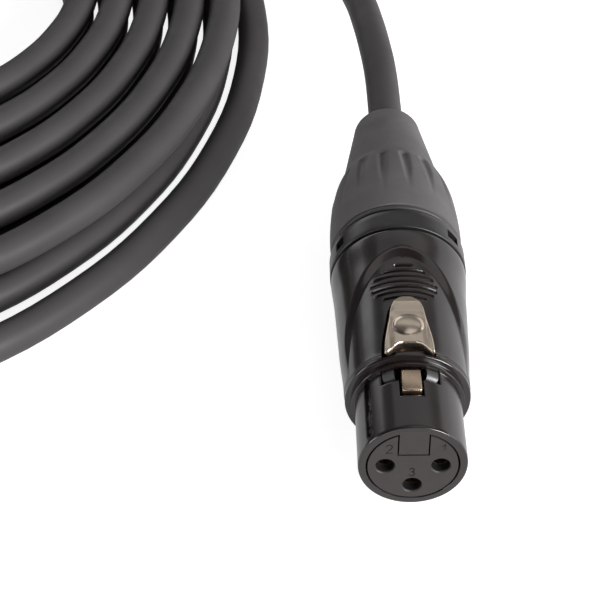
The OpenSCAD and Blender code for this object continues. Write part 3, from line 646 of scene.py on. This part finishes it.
def lever_pad():
    """The pad: a tongue with a thumb button, wings at its sides, and an arched cut in front."""
    columns = [(0, share) for share in np.linspace(0, 1, 17)]
    columns += [(1, share) for share in np.linspace(0, 1, 6)[1:]]
    columns += [(2, share) for share in np.linspace(0, 1, 12)[1:] ** 0.8]
    rows = np.concatenate([
        np.linspace(0, 0.035, 7)[:-1],
        np.linspace(0.035, 0.8, 84)[:-1],
        0.8 + 0.2 * np.sin(np.linspace(0, math.pi / 2, 20)),
    ])
    grid = []
    for v in rows:
        row = []
        for zone, share in columns:
            # the width depends on s, and s on how deep the cut is at x, so three rounds find both
            s = PAD_AT + 11 * v
            for _ in range(3):
                half = float(pad_half(min(s, PAD_END)))
                zones = (0, min(2.2, 0.72 * half), min(2.5, 0.86 * half), half)
                x = zones[zone] + (zones[zone + 1] - zones[zone]) * share
                cut = CUT_DEPTH * (1 - float(smooth_step(x, CUT_FROM, CUT_TO)))
                s = PAD_AT + cut + (PAD_END - PAD_AT - cut) * v
            row.append((x, s))
        grid.append([(-x, s) for x, s in row[:0:-1]] + row)
    grid = np.array(grid)
    x, s = grid[..., 0], grid[..., 1]
    half = pad_half(s)
    side, tip, front = half - np.abs(x), PAD_END - s, s - s[:1, :]
    wing = 0.34 * smooth_step(np.abs(x), 1.75, 2.95) + 0.3 * np.maximum(np.abs(x) - 2.6, 0)
    h = np.interp(s, *zip(*PAD_TOP)) - smooth_step(half, 2.35, 3.0) * wing
    for edge, radius in ((side, 0.26), (front, 0.2), (tip, 0.28)):
        h = h - radius + np.sqrt(np.maximum(radius**2 - np.maximum(radius - edge, 0) ** 2, 0))
    h = h - 0.12 * (1 - smooth_step(tip, 0, 1.8))
    q = np.hypot(x, s - BUTTON_AT) / BUTTON_R
    h = h + BUTTON_H * np.maximum(1 - q**2.4, 0) ** 0.7
    n, m = x.shape
    points = [(x[i, j], h[i, j], s[i, j]) for i in range(n) for j in range(m)]
    faces = grid_faces(n, m)
    rim = list(range(m)) + [i * m + m - 1 for i in range(1, n)]
    rim += [(n - 1) * m + j for j in range(m - 2, -1, -1)] + [i * m for i in range(n - 2, 0, -1)]
    low, c = len(points), len(rim)
    for level, share in PAD_SKIRT:
        points += [(points[i][0] * share, level, points[i][2]) for i in rim]
    for k in range(c):
        after = (k + 1) % c
        faces.append((rim[k], rim[after], low + after, low + k))
        faces.append((low + k, low + after, low + c + after, low + c + k))
    faces.append(tuple(low + c + k for k in range(c)))
    return np.array(points), faces


def lever_eye():
    """The eye of the lever round its hinge pin, along x."""
    points, faces = extruded([circle(1.4, 32), circle(0.82, 32)], -1.8, 1.8)
    points = np.stack([points[:, 2], points[:, 1] + HINGE_Z, points[:, 0] + HINGE_AT], 1)
    return points, faces


def coil_spring():
    """The spring under the lever's arm: a wire wound round z."""
    sides, steps = 10, 24 * SPRING_TURNS
    up = np.array((0, 1, 0))
    points = []
    for i in range(steps + 1):
        a = 2 * math.pi * SPRING_TURNS * i / steps
        out = np.array((math.cos(a), 0, math.sin(a)))
        height = SPRING_LOW + (SPRING_HIGH - SPRING_LOW) * i / steps
        mid = SPRING_R * out + (0, height, SPRING_AT)
        for b in np.arange(sides) * 2 * math.pi / sides:
            points.append(mid + SPRING_WIRE * (math.cos(b) * out + math.sin(b) * up))
    faces = grid_faces(steps + 1, sides, close_cols=True)
    faces += [tuple(range(sides)), tuple(steps * sides + j for j in range(sides))]
    return np.array(points), faces


piece(
    "latch_pad", "female", lever_pad(), "nickel", body="latch",
    replaces=["latch_lever"])
hook = merged(
    rounded_box(-1.45, 1.45, ARM_LOW, 8.58, 7.05, 11.35, 0.28),
    rounded_box(-ARM_HALF, ARM_HALF, 6.62, 7.3, 10.9, 15.6, 0.1, 1),
)
piece("latch_hook", "female", hook, "brass", body="latch")
arm = merged(
    rounded_box(-ARM_HALF, ARM_HALF, ARM_LOW, 8.8, 16.1, 17.6, 0.1, 1),
    rounded_box(-ARM_HALF, ARM_HALF, ARM_LOW, 7.9, 15.4, 27.0, 0.1, 1),
    rounded_box(-ARM_HALF, ARM_HALF, ARM_LOW, 8.8, 21.7, 23.6, 0.1, 1),
)
piece("latch_arm", "female", arm, "nickel", body="latch")
piece("latch_eye", "female", lever_eye(), "nickel", body="latch")
spring = piece(
    "latch_return", "female", coil_spring(), "steel",
    replaces=["latch_spring"], sharp=60)
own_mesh(spring)

# ---- ground spring ----

TAB_LINE = [
    (12.9, 7.62), (12.4, 7.95), (12.1, 8.0), (11.6, 8.0), (11.2, 7.93), (10.95, 7.78),
    (10.75, 7.52), (10.62, 7.2), (10.58, 6.8),
]
TAB_OUT, TAB_HALF, TAB_THICK, NOSE_R = 3.3, 0.85, 0.25, 8
BAND = [(11.95, 6.95), (12.85, 6.95), (12.85, 7.22), (11.95, 7.22)]


def ground_tab(side):
    """A strip that rises out of its window in a rounded bend."""
    points, faces = [], []
    last = len(TAB_LINE) - 1
    for i, (s, r) in enumerate(TAB_LINE):
        a, b = TAB_LINE[max(i - 1, 0)], TAB_LINE[min(i + 1, last)]
        n = unit(np.array((-(b[1] - a[1]), b[0] - a[0])))
        n = -n if n[1] < 0 else n
        for level in (0, TAB_THICK):
            for w in (-TAB_HALF, TAB_HALF):
                rr = r - n[1] * level
                turn = math.asin((side * TAB_OUT + w) / NOSE_R)
                points.append((rr * math.sin(turn), rr * math.cos(turn), s - n[0] * level))
    for a in range(0, 4 * last, 4):
        b = a + 4
        faces += [
            (a, a + 1, b + 1, b), (a + 2, b + 2, b + 3, a + 3),
            (a, b, b + 2, a + 2), (a + 1, a + 3, b + 3, b + 1),
        ]
    end = 4 * last
    faces += [(0, 2, 3, 1), (end, end + 1, end + 3, end + 2)]
    return np.array(points), faces


def clip_band():
    """The open ring that joins the two tabs round the insert."""
    turns = np.radians(np.linspace(18, 342, 82))
    points = [(r * math.sin(a), r * math.cos(a), s) for a in turns for s, r in BAND]
    faces = grid_faces(len(turns), len(BAND), close_cols=True)
    faces += [(3, 2, 1, 0), tuple(len(points) - 4 + k for k in range(4))]
    return np.array(points), faces


clip = merged(ground_tab(-1), ground_tab(1), clip_band())
piece("ground_clip", "female", clip, "strip", replaces=["ground_spring"], sharp=50)

# ---- rings, nut and boot ----

RING = [
    (41.28, 9.2), (41.28, 10.82), (41.31, 10.92), (41.38, 10.98), (41.48, 11), (42.45, 11),
    (42.5, 11), (43.3, 11), (44.2, 11), (44.25, 11), (45.18, 11), (45.26, 10.97),
    (45.3, 10.9), (45.3, 9.2),
]
RING_SLOTS = [(-59.5, 5.5), (52, 6.95)]  # middle and half width, in degrees
SLOT_AT, SLOT_END, SLOT_R = 42.47, 44.23, 10.1
NUT = [
    (45.7, 8.2), (45.7, 9.5), (46.3, 9.5), (46.32, 10.44), (46.36, 10.53), (46.44, 10.62),
    (46.8, 10.64), (46.98, 10.62), (47.06, 10.55), (47.1, 10.4), (47.1, 8.2),
]
BELL = [
    (47.35, 10.66), (48, 10.75), (50, 10.8), (52, 10.76), (54, 10.66), (56, 10.5), (58, 10.3),
    (60, 9.95), (61, 9.71), (62.4, 9.35), (63.55, 8.97), (64.7, 8.52), (65.63, 8.18),
    (79.2, 5.82), (80, 5.68),
]
BOOT_AT, SHOULDER_AT = 47.35, 79.2
BOOT_INSIDE = [(LONG, 3.15), (60, 3.15), (52, 8.3), (BOOT_AT, 8.3)]
FLUTES, FLUTE_HEAD, FLUTE_DEPTH = 16, 63.0, 0.55


def coding_ring():
    def slotted(theta, s, r):
        turn = np.degrees(np.arctan2(np.sin(theta), np.cos(theta)))
        cut = np.any([np.abs(turn - mid) < half for mid, half in RING_SLOTS], axis=0)
        return np.where(cut & (s > SLOT_AT) & (s < SLOT_END), SLOT_R, r)

    edges = [mid + side * half for mid, half in RING_SLOTS for side in (-1, 1)]
    marks = [edge + d for edge in edges for d in (-0.15, 0.15)]
    return lathe(RING, spaced([(-70, 0), (62, 2), (290, 3.4)], marks, 0.3)[:-1], slotted)


def boot():
    """A fluted bell, a cone and a rounded shoulder round the cable."""
    stations = [47.4, 47.55, *np.arange(48, 54, 1.0), *np.arange(54, 66.8, 0.3)]
    stations += list(np.arange(67, 79.3, 0.9))
    rows = [(s, smoothed(BELL, s, 0.4)) for s in stations]
    rows.insert(0, (BOOT_AT, rows[0][1] - 0.14))
    for a in np.radians(range(0, 91, 10)):
        rows.append((SHOULDER_AT + 2.23 * math.sin(a), 3.3 + 2.52 * math.cos(a)))

    def fluted(theta, s, r):
        """Grooves with a round head near the kink, which run out towards the nut."""
        pitch = 2 * math.pi / FLUTES
        across = np.abs((theta / pitch) % 1 - 0.5) * pitch * r
        half = np.interp(s, [50, 57, 63, 65], [0.35, 0.8, 1.0, 1.0])
        d = np.hypot(across / half, np.maximum(s - FLUTE_HEAD, 0))
        deep = FLUTE_DEPTH * smooth_step(s, 51, 61) * (1 - smooth_step(d, 0.2, 1.1))
        return np.where((s > 50) & (s < 65.5) & (r > 7), r - deep, r)

    return lathe(rows + BOOT_INSIDE, np.linspace(0, 360, 288, endpoint=False), fluted)


ring, nut, bell = coding_ring(), lathe(NUT, np.linspace(0, 360, 128, endpoint=False)), boot()
for end in ("female", "male"):
    piece(
        end + "_coding_ring", end, ring, "ring_black", replaces=[end + "_ring"])
    piece(end + "_nut_ring", end, nut, "nut_black", replaces=[end + "_nut"])
    piece(end + "_soft_boot", end, bell, "boot_grey", replaces=[end + "_boot"])

# ---- the male shell ----

NOTCH_TURN = math.degrees(math.asin(1.8 / BODY_R))
NOTCH_AT, NOTCH_END = 1.4, 6.5
MALE_FRONT = [
    (0, 8.4), (0, 9.2, 1), (0.03, 9.34, 1), (0.11, 9.44, 1), (0.3, 9.5, 1), (1.3, 9.5, 0.5),
    (1.4, 9.5, 0.2), (1.5, 9.5, 0.1), (6.4, 9.5, 0.6), (6.5, 9.5, 0.1), (6.6, 9.5, 0.1),
    (BODY_AT, 9.5, 0.6),
]
RIB_TURN = math.radians(-52)


def male_holes(t, s):
    turn, mid_s = cell_middles(t, s)
    return (np.abs(turn) < NOTCH_TURN) & (mid_s > NOTCH_AT) & (mid_s < NOTCH_END)


def male_inner(t, s):
    """The cup, with a bevelled mouth, and the wider bore behind it."""
    return np.where(s < 0.12, 8.3, np.where(s < 16.4, 8.15, 8.3)), s


def cup_rib():
    """The rib that runs in the side groove of a female nose."""
    points, faces = rounded_box(-0.5, 0.5, 7.7, 8.25, 1.6, 14.0, 0.12, 2)
    x, z, s = points.T
    sin, cos = math.sin(RIB_TURN), math.cos(RIB_TURN)
    return np.stack([x * cos + z * sin, z * cos - x * sin, s], 1), faces


notch_marks = [side * NOTCH_TURN + d for side in (-1, 1) for d in (-0.5, 0, 0.5)]
columns = spaced([(-93, 0), (-35, 1.6), (35, 0.9), (93, 1.6), (264, 3.2)], notch_marks, 0.4)
male_shell = shell(MALE_FRONT + REAR, columns, male_holes, body_shape, male_inner)
piece(
    "male_shell", "male", male_shell, "shell_black", replaces=["male_housing"], sharp=35)
piece("male_rib", "male", cup_rib(), "shell_black")

# ---- the cable ----

route = cable_route()
line = bpy.data.curves.new("cable", "CURVE")
line.dimensions = "3D"
line.bevel_depth, line.bevel_resolution, line.resolution_u = CABLE_D / 2 * MM, 10, 5
line.use_fill_caps = True
spline = line.splines.new("BEZIER")
spline.bezier_points.add(len(route) - 1)
for point, p in zip(spline.bezier_points, route):
    point.co = Vector(p) * MM
    point.handle_left_type = point.handle_right_type = "AUTO"
cable = bpy.data.objects.new("cable", line)
scene.collection.objects.link(cable)
put(cable, "jacket")
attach(cable, "cable")
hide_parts("cable_lead", "cable_coil", "cable_tail")

# ---- finishes of the nodes that stay ----

KEPT = {
    "female_insert": "face_grey", "male_insert": "face_grey", "male_ground_tab": "strip",
    "latch_pin": "steel", "female_chuck": "acetal", "male_chuck": "acetal",
    "female_cable_end": "jacket", "male_cable_end": "jacket",
}
for n in (1, 2, 3):
    KEPT[f"female_socket_{n}"] = KEPT[f"male_pin_{n}"] = "silver"
    KEPT[f"female_wire_{n}"] = KEPT[f"male_wire_{n}"] = f"core_{n}"
for name, finish in KEPT.items():
    put(nodes[name], finish)

# ---- floor and light ----

FLOOR_GREY = 0.45
FLOOR_GLOW, FLOOR_MIRRORED = 0.88, 0.5  # its own light, as the camera and as gloss see it
SOFTBOXES = [  # name, place, target, size, power
    ("key", (1.0, -1.0, 0.56), (-0.03, 0.03, 0), (0.9, 0.6), 41),
    ("front", (-0.7, -1.2, 0.3), (-0.03, 0.03, 0), (1.0, 0.35), 4),
    ("right", (1.25, 0.2, 0.22), (0, 0, 0.05), (1.0, 0.4), 2.5),
    ("left", (-1.25, 0.05, 0.25), (0, 0, 0.05), (0.9, 0.4), 5),
    ("overhead", (0.2, -0.1, 1.3), (0, 0, 0), (1.1, 0.8), 2),
    ("back_high", (0.15, 0.95, 0.95), (0, 0, 0), (1.7, 0.42), 1.0),
    ("back_left", (-0.55, 1.15, 0.28), (0, 0, 0), (0.9, 0.42), 1.5),
    ("back_right", (1.02, 0.85, 0.22), (0, 0, 0), (1.6, 0.44), 1.4),
]
ROOM_BACK = (0.35, 0.94, 0)  # the direction in which the room is palest
ROOM_SPAN, ROOM_LIGHT = (-0.3, 0.8), (0.02, 0.24)


def floor():
    """A pale floor, with some light of its own for the camera and in reflections."""
    mesh = bpy.data.meshes.new("floor")
    mesh.from_pydata([(-3, -3, 0), (3, -3, 0), (3, 3, 0), (-3, 3, 0)], [], [(0, 1, 2, 3)])
    ob = bpy.data.objects.new("floor", mesh)
    scene.collection.objects.link(ob)
    material = bpy.data.materials.new("floor_white")
    material.use_nodes = True
    tree = material.node_tree
    shader = tree.nodes["Principled BSDF"]
    shader.inputs["Base Color"].default_value = (FLOOR_GREY, FLOOR_GREY, FLOOR_GREY, 1)
    shader.inputs["Roughness"].default_value = 0.9
    shader.inputs["Specular IOR Level"].default_value = 0.1
    path = add_node(tree, "ShaderNodeLightPath")
    glow = add_node(tree, "ShaderNodeEmission")
    seen = add_node(tree, "ShaderNodeMath", {1: FLOOR_GLOW}, "MULTIPLY")
    mirrored = add_node(tree, "ShaderNodeMath", {1: FLOOR_MIRRORED}, "MULTIPLY_ADD")
    both = add_node(tree, "ShaderNodeAddShader")
    tree.links.new(path.outputs["Is Camera Ray"], seen.inputs[0])
    tree.links.new(path.outputs["Is Glossy Ray"], mirrored.inputs[0])
    tree.links.new(seen.outputs[0], mirrored.inputs[2])
    tree.links.new(mirrored.outputs[0], glow.inputs["Strength"])
    tree.links.new(shader.outputs[0], both.inputs[0])
    tree.links.new(glow.outputs[0], both.inputs[1])
    tree.links.new(both.outputs[0], tree.nodes["Material Output"].inputs["Surface"])
    ob.data.materials.append(material)


def softbox(name, location, target, size, power):
    data = bpy.data.lights.new(name, "AREA")
    data.shape = "RECTANGLE"
    data.size, data.size_y = size
    data.energy = power
    ob = bpy.data.objects.new(name, data)
    ob.location = location
    away = Vector(target) - Vector(location)
    ob.rotation_euler = away.to_track_quat("-Z", "Y").to_euler()
    scene.collection.objects.link(ob)


def surroundings():
    """A room that is paler behind the object than in front of it."""
    world = bpy.data.worlds.new("studio")
    world.use_nodes = True
    tree = world.node_tree
    background = tree.nodes["Background"]
    background.inputs["Color"].default_value = (1, 1, 1, 1)
    coords = add_node(tree, "ShaderNodeTexCoord")
    toward = add_node(tree, "ShaderNodeVectorMath", {1: ROOM_BACK}, "DOT_PRODUCT")
    low, high = ROOM_SPAN
    dark, pale = ROOM_LIGHT
    spread = add_node(tree, "ShaderNodeMapRange", {
        "From Min": low, "From Max": high, "To Min": dark, "To Max": pale})
    tree.links.new(coords.outputs["Generated"], toward.inputs[0])
    tree.links.new(toward.outputs["Value"], spread.inputs["Value"])
    tree.links.new(spread.outputs["Result"], background.inputs["Strength"])
    scene.world = world


floor()
for row in SOFTBOXES:
    softbox(*row)
surroundings()
scene.view_settings.view_transform = "Standard"
